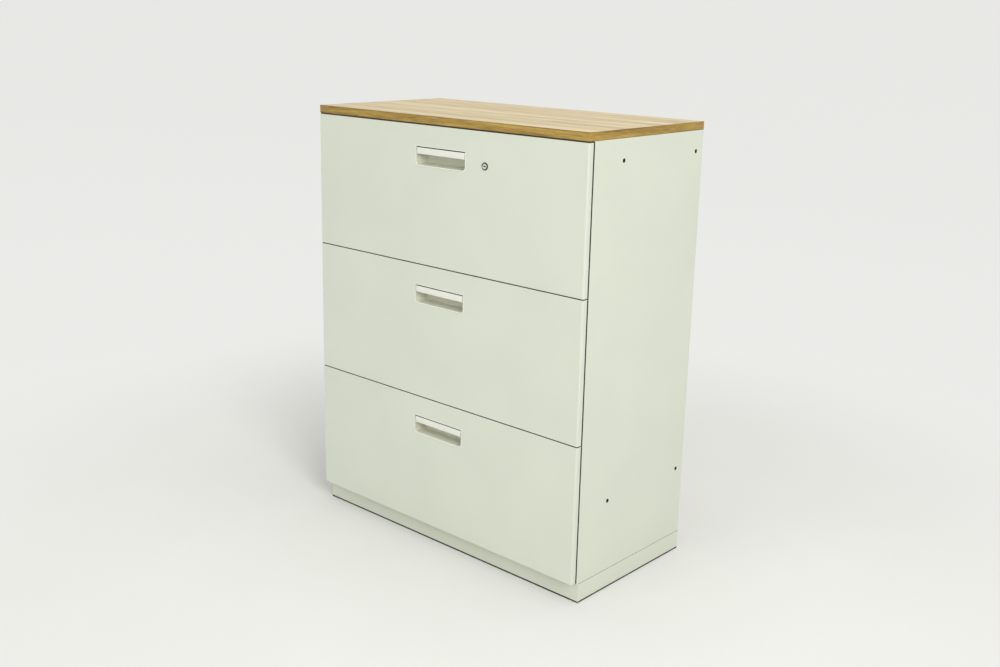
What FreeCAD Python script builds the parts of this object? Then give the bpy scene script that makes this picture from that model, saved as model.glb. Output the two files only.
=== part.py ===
import FreeCAD, Part
import math
import os

V = FreeCAD.Vector

# Driving dimensions in millimetres. X runs across the front, +Y to the back, +Z up.
# Every piece is drawn with y = 0 on the drawer faces and z = 0 on the floor.
cabinet_width = 900.0
cabinet_depth = 450.0
cabinet_height = 1120.0
panel_sheet = 1.0
panel_bend = 0.8

# Wood worktop with a glued edging all round.
worktop_thickness = 20.0
worktop_set_back = 1.0
worktop_corner = 2.0
edging_thickness = 1.0
edging_bevel = 0.7

# Base: a folded ring that stands on four screw feet.
base_height = 50.0
base_floor_gap = 2.0
base_set_back = 26.0
base_sheet = 1.2
base_top_flange = 25.0
base_lip = 12.0
gusset_size = 62.0
gusset_thickness = 3.0
gusset_height = 12.0
foot_inset = 40.0
foot_pad_flats = 32.0
foot_pad_height = 9.0
foot_stud_radius = 5.0
foot_stud_top = 44.0
weld_nut_flats = 17.0
weld_nut_height = 12.0
running_clearance = 0.05

# Side panels: a skin folded into a hollow front post and a rear flange.
post_width = 20.0
post_lip = 15.0
rear_flange = 15.0
joining_hole_radius = 4.5
joining_hole_front = 128.0
joining_hole_rear_inset = 30.0
joining_hole_low = 233.0
joining_hole_drop = 50.0

# Top frame and bottom pan.
frame_depth = 25.0
frame_lip = 14.0
frame_rear_flange = 20.0
pan_depth = 12.0
fit_clearance = 0.3

# Channels that carry the slides.
upright_sheet = 1.2
upright_proud = 1.0
upright_width = 40.0
upright_front = 36.0
upright_rear_inset = 80.0
upright_end_gap = 1.0
upright_slot_length = 16.0
upright_slot_width = 5.0

# Drawer fronts, from the top down.
drawer_names = ["top", "middle", "bottom"]
front_thickness = 15.5
front_sheet = 1.0
front_gap = 2.5
front_top_gap = 3.0
front_bottom_gap = 5.0
front_body_gap = 3.5
front_corner = 4.5
front_edge_bevel = 1.0
liner_sheet = 1.0
liner_flange = 11.0
liner_clearance = 0.25
bumper_size = 9.0
bumper_low = 30.0
bumper_below_rod = 40.0
bumper_clearance = 0.2

# Handle: a moulded cup in the front, with the latch lever across its upper part.
handle_width = 163.0
handle_height = 44.0
handle_drop = 52.3
handle_corner = 7.0
cup_depth = 32.0
cup_wall = 1.6
cup_back_round = 7.0
cup_back_bevel = 4.0
cup_roof_drop = 2.0
cup_window_clearance = 0.3
rim_width = 1.7
rim_proud = 0.6
snap_length = 14.0
snap_height = 1.4
snap_depth = 4.0
lever_height = 17.0
lever_side_gap = 1.0
lever_thickness = 2.6
lever_lip = 5.3
lever_lip_height = 2.4
lever_face_low = 0.5
lever_face_high = 1.4
lever_arm_front = 5.0
lever_top_gap = 2.2
lever_hub = 5.0
lever_roof_gap = 1.4

# Latch: a rod across the front whose end hooks catch the front channels.
rod_radius = 3.0
rod_y = 8.0
rod_rise = 9.0
rod_clearance = 0.1
hook_thickness = 3.0
hook_inset = 10.0
hook_heel = 5.0
hook_arm_half = 3.0
hook_reach = 8.5
hook_nose = 8.0
hook_play = 0.5
hook_slot_margin = 1.5
hook_slot_up = 0.6
hook_swing = 13.0
bearing_thickness = 1.5
bearing_half = 6.5
bearing_place = 200.0
spring_x = 110.0
spring_inset = 2.85
spring_radius = 1.35
spring_wire = 0.7
spring_length = 14.0
spring_turns = 3
spring_steps_per_turn = 8
spring_tab_width = 8.0
spring_tab_thickness = 2.0
spring_tab_gap = 0.3
spring_shelf = 1.2

# Lock in the top front: a plug whose crank lifts a bolt behind the top frame's lip.
lock_x = 147.0
lock_drop = 80.0
lock_head_radius = 9.5
lock_head_proud = 2.0
lock_body_radius = 8.25
lock_hole_clearance = 0.15
lock_body_end = 21.5
lock_head_bevel = 0.5
plug_recess = 0.7
plug_radius = 5.5
plug_end = 22.0
keyway_width = 1.6
keyway_length = 8.0
keyway_depth = 3.0
nut_flats = 22.0
nut_thickness = 4.0
crank_thickness = 2.0
crank_radius = 8.5
crank_hub = 5.5
crank_end = 3.0
crank_pin_radius = 2.0
crank_pin_length = 5.0
crank_start = -45.0
bolt_gap = 1.0
bolt_thickness = 2.0
bolt_foot_width = 20.0
bolt_width = 14.0
bolt_slot_clearance = 0.4
bolt_tail = 6.0
bolt_top_gap = 3.0
bolt_chamfer = 2.0
guide_height = 10.0
guide_below_top = 20.0
guide_thickness = 1.2
guide_cover = 3.0
bolt_lip_clearance = 0.8

# Telescopic slides: three nested folded members on each side of a drawer.
slide_front_gap = 3.0
slide_back_gap = 28.0
slide_rise = 45.0
slide_sheet = 1.2
slide_height = 45.0
slide_depth = 13.0
slide_reach = 10.7
slide_clearance = 0.3
slide_outer_lip = 3.5
slide_middle_lip = 4.5
slide_inner_lip = 3.3

# Tray behind each front.
tray_sheet = 1.0
tray_rise = 14.0
tray_height = 254.0
tray_back_gap = 26.0
tray_hem = 7.0
tray_ledge = 15.0
tray_flange = 15.0
tray_back_hem = 10.0
tray_floor_clearance = 0.2
divider_slot_length = 30.0
divider_slot_width = 2.0
divider_slot_pitch = 150.0
divider_slot_rows = [110.0, 330.0]

# What follows from them.
half_width = cabinet_width / 2
body_front = front_thickness + front_body_gap
spring_y = front_thickness - spring_inset
spring_tab_reach = front_thickness - liner_sheet - spring_tab_gap - rod_y
body_top = cabinet_height - worktop_thickness
drawer_count = len(drawer_names)
fronts_height = body_top - front_top_gap - base_height - front_bottom_gap
front_height = (fronts_height - (drawer_count - 1) * front_gap) / drawer_count
origin_y = (cabinet_depth - lock_head_proud) / 2
opening_half = half_width - post_width
upright_face = opening_half - upright_proud
tray_half = upright_face - slide_depth
back_inside = cabinet_depth - 2 * panel_sheet
tray_end = cabinet_depth - tray_back_gap
slide_start = body_front + slide_front_gap
slide_length = cabinet_depth - slide_back_gap - slide_start
hook_x = half_width - hook_inset
lock_z = body_top - front_top_gap - lock_drop


def line(start, end):
    """Straight edge."""
    return Part.LineSegment(start, end).toShape()


def box(x, y, z):
    """Block between pairs of limits."""
    return Part.makeBox(x[1] - x[0], y[1] - y[0], z[1] - z[0], V(x[0], y[0], z[0]))


def single(shape):
    """The one solid that a cut or a fusion has to leave."""
    clean = shape.removeSplitter()
    if len(clean.Solids) != 1:
        raise ValueError("a piece came apart into %d solids" % len(clean.Solids))
    return clean.Solids[0]


def extruded(face, axis, start, length):
    """Face drawn in two coordinates, run along an axis: x takes (y, z), y takes (z, x), z takes (x, y)."""
    solid = face.extrude(V(0, 0, length))
    if solid.Volume < 0:
        solid.reverse()
    solid.translate(V(0, 0, start))
    solid.rotate(V(0, 0, 0), V(1, 1, 1), {"z": 0.0, "x": 120.0, "y": 240.0}[axis])
    return solid


def bent_path(points, radii):
    """Edges of an open path, with an arc at each inner corner whose radius isn't zero."""
    edges = []
    last = points[0]
    for before, corner, after, radius in zip(points, points[1:], points[2:], radii):
        into = (corner - before).normalize()
        out = (after - corner).normalize()
        half_turn = into.getAngle(out) / 2
        reach = radius * math.tan(half_turn)
        start = corner - into * reach
        edges.append(line(last, start))
        last = corner + out * reach
        if radius > 0:
            inward = (out - into).normalize()
            middle = corner + inward * (radius / math.cos(half_turn) - radius)
            edges.append(Part.Arc(start, middle, last).toShape())
    edges.append(line(last, points[-1]))
    return edges


def folded(path, sheet, axis, start, length, bends=None):
    """Sheet folded along a path, lying on the path's left. Folds without an inner bend are sharp."""
    points = [V(u, v, 0) for u, v in path]
    steps = [(after - before).normalize() for before, after in zip(points, points[1:])]
    lefts = [V(-step.y, step.x, 0) for step in steps]
    bends = bends or [0] * (len(points) - 2)
    offset = [points[0] + lefts[0] * sheet]
    near_side = []
    far_side = []
    for i, bend in enumerate(bends, 1):
        corner = (lefts[i - 1] + lefts[i]) * (sheet / (1 + lefts[i - 1].dot(lefts[i])))
        offset.append(points[i] + corner)
        outer = bend + sheet if bend else 0
        turns_left = steps[i - 1].x * steps[i].y > steps[i - 1].y * steps[i].x
        near_side.append(outer if turns_left else bend)
        far_side.append(bend if turns_left else outer)
    offset.append(points[-1] + lefts[-1] * sheet)
    edges = bent_path(points, near_side) + bent_path(offset, far_side)
    edges += [line(points[0], offset[0]), line(points[-1], offset[-1])]
    wire = Part.Wire(Part.__sortEdges__(edges))
    return extruded(Part.Face(wire), axis, start, length)


def prism(outline, axis, start, length):
    """Straight-sided outline run along an axis."""
    points = [V(u, v, 0) for u, v in outline]
    wire = Part.makePolygon(points + points[:1])
    return extruded(Part.Face(wire), axis, start, length)


def post(radius, centre, bottom, top):
    """Upright cylinder."""
    return Part.makeCylinder(radius, top - bottom, V(centre[0], centre[1], bottom))


def rod_along_y(radius, x, z, front, back):
    """Cylinder from front to back."""
    return Part.makeCylinder(radius, back - front, V(x, front, z), V(0, 1, 0))


def rod_along_x(radius, y, z, left, right):
    """Cylinder across the width."""
    return Part.makeCylinder(radius, right - left, V(left, y, z), V(1, 0, 0))


def hexagon(flats, axis, centre, start, length):
    """Six-sided bar."""
    reach = flats / math.sqrt(3)
    turns = [math.radians(60 * i) for i in range(6)]
    outline = [(centre[0] + reach * math.cos(a), centre[1] + reach * math.sin(a)) for a in turns]
    return prism(outline, axis, start, length)


def runs(edge, direction):
    """Whether a straight edge lies along a direction."""
    if edge.Curve.TypeId != "Part::GeomLine" or len(edge.Vertexes) != 2:
        return False
    way = edge.Vertexes[1].Point - edge.Vertexes[0].Point
    return way.cross(direction).Length < 1e-6 * way.Length


def near(value, target):
    """Whether two coordinates are the same."""
    return abs(value - target) < 1e-6


def mirrored(shape):
    """The same piece on the other side of the cabinet."""
    return shape.mirror(V(0, 0, 0), V(1, 0, 0))


def save(node, *solids):
    """Writes one sub-part, with the origin on the floor below the middle of the whole cabinet."""
    for solid in solids:
        if not solid.isValid() or solid.Volume <= 0:
            raise ValueError(node + " is not a sound solid")
    shape = solids[0].copy() if len(solids) == 1 else Part.makeCompound(list(solids))
    shape.translate(V(0, -origin_y, 0))
    shape.exportStep(os.path.join("parts", node + ".step"))


def front_bottom(index):
    """Height of a drawer front's lower edge, counted from the top drawer."""
    return body_top - front_top_gap - (index + 1) * front_height - index * front_gap


def handle_top(index):
    """Height of the upper edge of a drawer's handle opening."""
    return front_bottom(index) + front_height - handle_drop


def rod_z(index):
    """Height of a drawer's latch rod."""
    return handle_top(index) + rod_rise


def worktop():
    """Board core, and the edging as a ring round it with its outer edges bevelled above and below."""
    front = worktop_set_back
    outer = box((-half_width, half_width), (front, cabinet_depth), (body_top, cabinet_height))
    outer = outer.makeFillet(worktop_corner, [e for e in outer.Edges if runs(e, V(0, 0, 1))])
    rims = [e for e in outer.Edges if near(e.BoundBox.ZMin, e.BoundBox.ZMax)]
    outer = outer.makeChamfer(edging_bevel, rims)
    x = half_width - edging_thickness
    y_limits = (front + edging_thickness, cabinet_depth - edging_thickness)
    core = box((-x, x), y_limits, (body_top, cabinet_height))
    save("worktop_board", core)
    save("worktop_edging", single(outer.cut(core)))


def side_panel():
    """Right-hand panel: skin, hollow front post and rear flange, with its joining holes and hook slots."""
    path = [
        (opening_half, body_front + post_lip),
        (opening_half, body_front),
        (half_width, body_front),
        (half_width, cabinet_depth),
        (half_width - rear_flange, cabinet_depth),
    ]
    bends = [0, panel_bend, panel_bend]
    panel = folded(path, panel_sheet, "z", base_height, body_top - base_height, bends)
    for y in (joining_hole_front, cabinet_depth - joining_hole_rear_inset):
        for z in (joining_hole_low, body_top - joining_hole_drop):
            hole = rod_along_x(joining_hole_radius, y, z, half_width - 2 * panel_sheet, half_width + panel_sheet)
            panel = panel.cut(hole)
    for index in range(drawer_count):
        panel = panel.cut(hook_slot(index, body_front, panel_sheet))
    return single(panel)


def hook_slot(index, face, sheet):
    """Cutter for the slot that a latch hook swings in, through a flange whose front is at face."""
    reach = upright_front + upright_sheet + hook_play + hook_reach - rod_y
    drop = reach * math.sin(math.radians(hook_swing)) + hook_arm_half + hook_slot_margin
    x_limits = (hook_x - hook_thickness / 2 - hook_slot_margin, hook_x + hook_thickness / 2 + hook_slot_margin)
    z = rod_z(index)
    rise = hook_arm_half + hook_slot_up
    return box(x_limits, (face - sheet, face + 2 * sheet), (z - drop, z + rise))


def upright_pair():
    """Front and rear channels on the right, welded to the panel's skin."""
    channels = []
    low = base_height + pan_depth + upright_end_gap
    high = body_top - frame_depth - upright_end_gap
    skin = half_width - panel_sheet
    for start in (upright_front, cabinet_depth - upright_rear_inset):
        path = [
            (skin, start + upright_width),
            (upright_face, start + upright_width),
            (upright_face, start),
            (skin, start),
        ]
        channel = folded(path, upright_sheet, "z", low, high - low)
        middle = start + upright_width / 2
        for index in range(drawer_count):
            centre = front_bottom(index) + slide_rise
            for step in (-1, 1):
                z = centre + step * slide_height
                slot_y = (middle - upright_slot_width / 2, middle + upright_slot_width / 2)
                slot_z = (z - upright_slot_length / 2, z + upright_slot_length / 2)
                slot_x = (upright_face - upright_sheet, upright_face + 2 * upright_sheet)
                channel = channel.cut(box(slot_x, slot_y, slot_z))
            if start == upright_front:
                channel = channel.cut(hook_slot(index, start, upright_sheet))
        channels.append(single(channel))
    return channels


def top_frame():
    """Folded frame under the worktop. Its front lip has the slot for the lock bolt."""
    path = [
        (back_inside, body_top - frame_rear_flange),
        (back_inside, body_top),
        (body_front, body_top),
        (body_front, body_top - frame_depth),
        (body_front + frame_lip, body_top - frame_depth),
    ]
    width = opening_half - fit_clearance
    frame = folded(path, panel_sheet, "x", -width, 2 * width)
    bolt_x = lock_x - bolt_offset()
    half = bolt_width / 2 + bolt_lip_clearance
    y_limits = (bolt_front() - bolt_lip_clearance, bolt_front() + bolt_thickness + bolt_lip_clearance)
    z = body_top - frame_depth
    frame = frame.cut(box((bolt_x - half, bolt_x + half), y_limits, (z - panel_sheet, z + 2 * panel_sheet)))
    return single(frame)


def bottom_pan():
    """Folded floor of the body."""
    path = [
        (body_front, base_height + pan_depth),
        (body_front, base_height),
        (back_inside, base_height),
        (back_inside, base_height + pan_depth),
    ]
    width = opening_half - fit_clearance
    return folded(path, panel_sheet, "x", -width, 2 * width)


def back_panel():
    """Flat sheet inside the rear flanges."""
    width = half_width - panel_sheet - panel_bend
    return box((-width, width), (back_inside, back_inside + panel_sheet), (base_height, body_top))


def foot_centres():
    """Places of the four feet, with the names of their corners."""
    x = half_width - foot_inset
    front = base_set_back + foot_inset
    back = cabinet_depth - foot_inset
    return {
        "front_left": (-x, front),
        "front_right": (x, front),
        "rear_left": (-x, back),
        "rear_right": (x, back),
    }


def base_frame():
    """Ring with a top flange, a bottom lip and a gusset with a weld nut in each corner."""
    x = half_width
    y = (base_set_back, cabinet_depth)
    z = (base_floor_gap, base_height)
    outer = box((-x, x), y, z)
    def inside(margin, low, high):
        return box((margin - x, x - margin), (y[0] + margin, y[1] - margin), (low, high))

    ring = outer.cut(inside(base_sheet, z[0] + base_sheet, z[1] - base_sheet))
    ring = ring.cut(inside(base_top_flange, z[1] - 2 * base_sheet, z[1] + base_sheet))
    ring = ring.cut(inside(base_lip, z[0] - base_sheet, z[0] + 2 * base_sheet))
    for cx, cy in foot_centres().values():
        side = math.copysign(1, cx)
        x_limits = sorted((side * (x - base_sheet), side * (x - base_sheet - gusset_size)))
        if cy < (y[0] + y[1]) / 2:
            y_limits = (y[0] + base_sheet, y[0] + base_sheet + gusset_size)
        else:
            y_limits = (y[1] - base_sheet - gusset_size, y[1] - base_sheet)
        plate_top = gusset_height + gusset_thickness
        ring = ring.fuse(box(x_limits, y_limits, (gusset_height, plate_top)))
        ring = ring.fuse(hexagon(weld_nut_flats, "z", (cx, cy), plate_top, weld_nut_height))
        nut_top = plate_top + weld_nut_height
        hole = post(foot_stud_radius + running_clearance, (cx, cy), gusset_height, nut_top)
        ring = ring.cut(hole)
    return single(ring)


def foot(centre):
    """Screw foot: a hexagonal glide on a stud."""
    glide = hexagon(foot_pad_flats, "z", centre, 0, foot_pad_height)
    return single(glide.fuse(post(foot_stud_radius, centre, foot_pad_height, foot_stud_top)))


def bumpers():
    """Rubber pads on the front posts, two on each side of every drawer front."""
    pads = []
    half = bumper_size / 2
    for index in range(drawer_count):
        for side in (-1, 1):
            for z in (front_bottom(index) + bumper_low, rod_z(index) - bumper_below_rod):
                x = side * hook_x
                front = front_thickness + bumper_clearance
                pads.append(box((x - half, x + half), (front, body_front), (z - half, z + half)))
    return pads


def handle_outline(index, grow):
    """Outline of the handle opening grown on three sides and at the top, as (x, z) limits."""
    top = handle_top(index)
    half = handle_width / 2 + grow
    return (-half, half), (top - handle_height - grow, top)


def low_corners(block):
    """The two lower edges of a block that run front to back."""
    low = block.BoundBox.ZMin
    picks = [e for e in block.Edges if runs(e, V(0, 1, 0)) and near(e.BoundBox.ZMin, low)]
    return [e for e in picks if near(e.BoundBox.ZMax, low)]


def drawer_front(index):
    """Folded front shell, open at the back, with the handle window and, at the top, the lock hole."""
    low = front_bottom(index)
    high = low + front_height
    shell = box((-half_width, half_width), (0, front_thickness), (low, high))
    corners = [e for e in shell.Edges if runs(e, V(0, 0, 1)) and near(e.BoundBox.YMin, 0)]
    corners = [e for e in corners if near(e.BoundBox.YMax, 0)]
    shell = shell.makeFillet(front_corner, corners)
    rims = []
    for edge in shell.Edges:
        bounds = edge.BoundBox
        level = near(bounds.ZMin, bounds.ZMax)
        if level and not near(bounds.YMin, front_thickness):
            rims.append(edge)
    shell = shell.makeChamfer(front_edge_bevel, rims)
    x = half_width - front_sheet
    hollow = box((-x, x), (front_sheet, 2 * front_thickness), (low + front_sheet, high - front_sheet))
    corners = [e for e in hollow.Edges if runs(e, V(0, 0, 1)) and near(e.BoundBox.YMax, front_sheet)]
    shell = shell.cut(hollow.makeFillet(front_corner - front_sheet, corners))
    grow = cup_wall + cup_window_clearance
    x_limits, z_limits = handle_outline(index, grow)
    window = box(x_limits, (-front_sheet, 2 * front_sheet), z_limits)
    shell = shell.cut(window.makeFillet(handle_corner + grow, low_corners(window)))
    if index == 0:
        radius = lock_body_radius + lock_hole_clearance
        shell = shell.cut(rod_along_y(radius, lock_x, lock_z, -front_sheet, 2 * front_sheet))
    return single(shell)


def bolt_front():
    """Front face of the lock bolt."""
    return plug_end + crank_thickness + bolt_gap


def bolt_offset():
    """How far the bolt's middle lies to the left of the lock, under the crank pin's travel."""
    return crank_radius * (1 + math.cos(math.radians(crank_start))) / 2


def crank_start_drop():
    """How far the crank pin stands below the lock's axis when unlocked."""
    return -crank_radius * math.sin(math.radians(crank_start))


def drawer_liner(index):
    """Inner pan of a front, with rod bearings, a spring shelf and, at the top, the bolt guides."""
    low = front_bottom(index) + front_sheet + liner_clearance
    high = front_bottom(index) + front_height - front_sheet - liner_clearance
    x = half_width - front_sheet - liner_clearance
    back = front_thickness
    pan = box((-x, x), (back - liner_flange, back), (low, high))
    inner_x = x - liner_sheet
    inner_z = (low + liner_sheet, high - liner_sheet)
    plate_front = back - liner_sheet
    pan = pan.cut(box((-inner_x, inner_x), (0, plate_front), inner_z))
    x_limits, z_limits = handle_outline(index, cup_wall + cup_window_clearance)
    through = (plate_front - liner_sheet, back + liner_sheet)
    pan = pan.cut(box(x_limits, through, z_limits))
    slot = hook_slot(index, plate_front, liner_sheet)
    pan = pan.cut(slot).cut(mirrored(slot))
    z = rod_z(index)
    for side in (-1, 1):
        x_limits = sorted((side * bearing_place, side * (bearing_place + bearing_thickness)))
        ear = box(x_limits, (rod_y - bearing_half, plate_front), (z - bearing_half, z + bearing_half))
        pan = pan.fuse(ear)
    pan = pan.cut(rod_along_x(rod_radius + rod_clearance, rod_y, z, -hook_x, hook_x))
    shelf_top = z - spring_tab_thickness / 2 - spring_length
    half = spring_tab_width / 2
    shelf = box(
        (spring_x - half, spring_x + half),
        (spring_y - spring_radius - spring_wire, plate_front),
        (shelf_top - spring_shelf, shelf_top),
    )
    pan = pan.fuse(shelf)
    if index == 0:
        radius = lock_body_radius + lock_hole_clearance
        pan = pan.cut(rod_along_y(radius, lock_x, lock_z, through[0], through[1]))
        middle = lock_x - bolt_offset()
        guide_top = body_top - frame_depth - guide_below_top
        z_limits = (guide_top - guide_height, guide_top)
        cover_front = bolt_front() + bolt_thickness + fit_clearance
        for side in (-1, 1):
            edge = bolt_width / 2 + fit_clearance
            x_limits = sorted((middle + side * edge, middle + side * (edge + guide_thickness)))
            wall = box(x_limits, (back, cover_front + guide_thickness), z_limits)
            x_limits = sorted((middle + side * (edge - guide_cover), middle + side * edge))
            cover = box(x_limits, (cover_front, cover_front + guide_thickness), z_limits)
            pan = pan.fuse(wall).fuse(cover)
    return single(pan)


def back_rim(block, y, top):
    """Edges round the back of a recess block, without its upper one."""
    picks = []
    for edge in block.Edges:
        bounds = edge.BoundBox
        if near(bounds.YMin, y) and near(bounds.YMax, y) and not near(bounds.ZMin, top):
            picks.append(edge)
    return picks


def handle_cup(index):
    """Moulded recess with a thin rim in front of the sheet and snaps behind it."""
    top = handle_top(index)
    roof = top - cup_roof_drop
    back = cup_depth + cup_wall
    x_limits, z_limits = handle_outline(index, cup_wall)
    body = box(x_limits, (0, back), (z_limits[0], roof + cup_wall))
    body = body.makeFillet(handle_corner + cup_wall, low_corners(body))
    body = body.makeChamfer(cup_back_bevel, back_rim(body, back, roof + cup_wall))
    x_limits, z_limits = handle_outline(index, 0)
    cavity = box(x_limits, (-cup_depth, cup_depth), (z_limits[0], roof))
    cavity = cavity.makeFillet(handle_corner, low_corners(cavity))
    cavity = cavity.makeFillet(cup_back_round, back_rim(cavity, cup_depth, roof))
    lever_back = lever_arm_front + lever_thickness
    lever_way = box(x_limits, (-cup_depth, lever_back + lever_roof_gap), (roof - cup_wall, top + cup_wall))
    grow = cup_wall + cup_window_clearance
    x_limits, z_limits = handle_outline(index, grow + rim_width)
    rim = box(x_limits, (-rim_proud, 0), (z_limits[0], top + rim_width))
    rim = rim.makeFillet(handle_corner + grow + rim_width, low_corners(rim))
    window = box(handle_outline(index, 0)[0], (-cup_depth, 0), (roof - cup_wall, top))
    cup = body.fuse(rim).cut(cavity).cut(lever_way.cut(rim)).cut(window)
    outside = handle_width / 2 + cup_wall
    snap_front = front_sheet + cup_window_clearance
    for side in (-1, 1):
        wedge = [
            (side * outside, snap_front),
            (side * (outside + snap_height), snap_front),
            (side * outside, snap_front + snap_depth),
        ]
        z = top - handle_height / 2
        cup = cup.fuse(prism(wedge, "z", z - snap_length / 2, snap_length))
    return single(cup)


def latch_lever(index):
    """Moulded flap across the upper part of the handle. Its bevelled hub sits on the latch rod."""
    top = handle_top(index)
    low = top - lever_height
    face_top = top - lever_top_gap
    axis_z = rod_z(index)
    back = lever_arm_front + lever_thickness
    web_low = face_top - lever_thickness
    flap_back = lever_face_high + lever_thickness
    lip_back = lever_face_low + lever_lip
    lip_top = low + lever_lip_height
    slope = (lever_face_high - lever_face_low) / (face_top - low)
    hub = lever_hub
    flat = hub * math.tan(math.radians(22.5))
    profile = [
        (lever_face_low, low),
        (lever_face_high, face_top),
        (lever_arm_front, face_top),
        (lever_arm_front, axis_z - hub),
        (rod_y - hub, axis_z - flat),
        (rod_y - hub, axis_z + flat),
        (rod_y - flat, axis_z + hub),
        (rod_y + flat, axis_z + hub),
        (rod_y + hub, axis_z + flat),
        (rod_y + hub, axis_z - flat),
        (rod_y + flat, axis_z - hub),
        (back, axis_z - hub),
        (back, web_low),
        (flap_back, web_low),
        (lever_face_low + slope * lever_lip_height + lever_thickness, lip_top),
        (lip_back, lip_top),
        (lip_back, low),
    ]
    half = handle_width / 2 - lever_side_gap
    flap = prism(profile, "x", -half, 2 * half)
    return single(flap.cut(rod_along_x(rod_radius, rod_y, axis_z, -half, half)))


def latch_rod(index):
    """Rod with a hook at each end and a tab for the return spring."""
    z = rod_z(index)
    inner = hook_x - hook_thickness / 2
    rod = rod_along_x(rod_radius, rod_y, z, -inner, inner)
    catch = upright_front + upright_sheet + hook_play
    tip = catch + hook_reach
    outline = [
        (rod_y - hook_heel, z - hook_arm_half),
        (rod_y - hook_arm_half, z - hook_heel),
        (rod_y + hook_arm_half, z - hook_heel),
        (rod_y + hook_heel, z - hook_arm_half),
        (tip, z - hook_arm_half),
        (tip, z),
        (catch + hook_arm_half, z + hook_nose),
        (catch, z + hook_nose),
        (catch, z + hook_arm_half),
        (rod_y + hook_heel, z + hook_arm_half),
        (rod_y + hook_arm_half, z + hook_heel),
        (rod_y - hook_arm_half, z + hook_heel),
        (rod_y - hook_heel, z + hook_arm_half),
    ]
    for side in (-1, 1):
        start = side * hook_x - hook_thickness / 2
        rod = rod.fuse(prism(outline, "x", start, hook_thickness))
    half = spring_tab_width / 2
    thick = spring_tab_thickness / 2
    tab = box((spring_x - half, spring_x + half), (rod_y, rod_y + spring_tab_reach), (z - thick, z + thick))
    return single(rod.fuse(tab))


def latch_spring(index):
    """Return spring: one unbroken square wire wound upwards under the rod's tab."""
    top = rod_z(index) - spring_tab_thickness / 2
    rise = spring_length - spring_wire
    count = spring_turns * spring_steps_per_turn
    path = []
    for i in range(count + 1):
        angle = 2 * math.pi * i / spring_steps_per_turn
        z = top - spring_length + spring_wire / 2 + rise * i / count
        path.append(V(spring_x + spring_radius * math.cos(angle), spring_y + spring_radius * math.sin(angle), z))
    half = spring_wire / 2
    section = [
        V(path[0].x - half, spring_y, path[0].z - half),
        V(path[0].x + half, spring_y, path[0].z - half),
        V(path[0].x + half, spring_y, path[0].z + half),
        V(path[0].x - half, spring_y, path[0].z + half),
    ]
    sweep = Part.BRepOffsetAPI.MakePipeShell(Part.makePolygon(path))
    sweep.setTransitionMode(1)
    sweep.add(Part.makePolygon(section + section[:1]))
    sweep.build()
    sweep.makeSolid()
    return sweep.shape()


def lock_barrel():
    """Lock body: a round bevelled head and a barrel with a bore for the plug."""
    head = rod_along_y(lock_head_radius, lock_x, lock_z, -lock_head_proud, 0)
    rims = [e for e in head.Edges if near(e.BoundBox.YMax, -lock_head_proud)]
    head = head.makeChamfer(lock_head_bevel, rims)
    barrel = head.fuse(rod_along_y(lock_body_radius, lock_x, lock_z, 0, lock_body_end))
    bore = rod_along_y(plug_radius + running_clearance, lock_x, lock_z, -lock_head_proud, lock_body_end)
    return single(barrel.cut(bore))


def lock_plug():
    """Turning plug with its keyway, a little behind the face of the head."""
    face = plug_recess - lock_head_proud
    plug = rod_along_y(plug_radius, lock_x, lock_z, face, plug_end)
    half = keyway_length / 2
    slot = box(
        (lock_x - half, lock_x + half),
        (face - keyway_depth, face + keyway_depth),
        (lock_z - keyway_width / 2, lock_z + keyway_width / 2),
    )
    return single(plug.cut(slot))


def lock_crank():
    """Stamped crank on the plug's end, with the pin that lifts the bolt."""
    back = plug_end + crank_thickness
    pin_x = lock_x - crank_radius * math.cos(math.radians(crank_start))
    pin_z = lock_z - crank_start_drop()
    arm = [
        (-crank_hub, crank_hub),
        (-crank_hub, -crank_hub),
        (crank_hub, -crank_hub),
        (crank_radius + crank_end, -crank_end),
        (crank_radius + crank_end, crank_end),
        (crank_hub, crank_hub),
    ]
    plate = prism(arm, "y", plug_end, crank_thickness)
    plate.rotate(V(0, 0, 0), V(0, 1, 0), crank_start - 90)
    plate.translate(V(lock_x, 0, lock_z))
    pin = rod_along_y(crank_pin_radius, pin_x, pin_z, back, back + crank_pin_length)
    return single(plate.fuse(pin))


def lock_nut():
    """Hexagon nut that draws the lock against the front."""
    nut = hexagon(nut_flats, "y", (lock_z, lock_x), front_thickness, nut_thickness)
    bore = rod_along_y(lock_body_radius, lock_x, lock_z, front_thickness, front_thickness + nut_thickness)
    return single(nut.cut(bore))


def lock_bolt():
    """Flat bolt. Its foot has the cross slot for the crank pin, and its end is bevelled."""
    front = bolt_front()
    middle = lock_x - bolt_offset()
    pin_z = lock_z - crank_start_drop()
    top = body_top - frame_depth - bolt_top_gap
    foot_top = pin_z + bolt_tail + crank_pin_radius
    half = bolt_foot_width / 2
    low = pin_z - bolt_tail
    neck = bolt_width / 2
    outline = [
        (low, middle - half),
        (foot_top, middle - half),
        (foot_top + half - neck, middle - neck),
        (top - bolt_chamfer, middle - neck),
        (top, middle - neck + bolt_chamfer),
        (top, middle + neck - bolt_chamfer),
        (top - bolt_chamfer, middle + neck),
        (foot_top + half - neck, middle + neck),
        (foot_top, middle + half),
        (low, middle + half),
    ]
    bolt = prism(outline, "y", front, bolt_thickness)
    inner = crank_radius * math.cos(math.radians(crank_start))
    gap = crank_pin_radius + bolt_slot_clearance
    slot = box(
        (lock_x - crank_radius - gap, lock_x - inner + gap),
        (front - bolt_thickness, front + 2 * bolt_thickness),
        (pin_z - gap, pin_z + gap),
    )
    return single(bolt.cut(slot))


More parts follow.
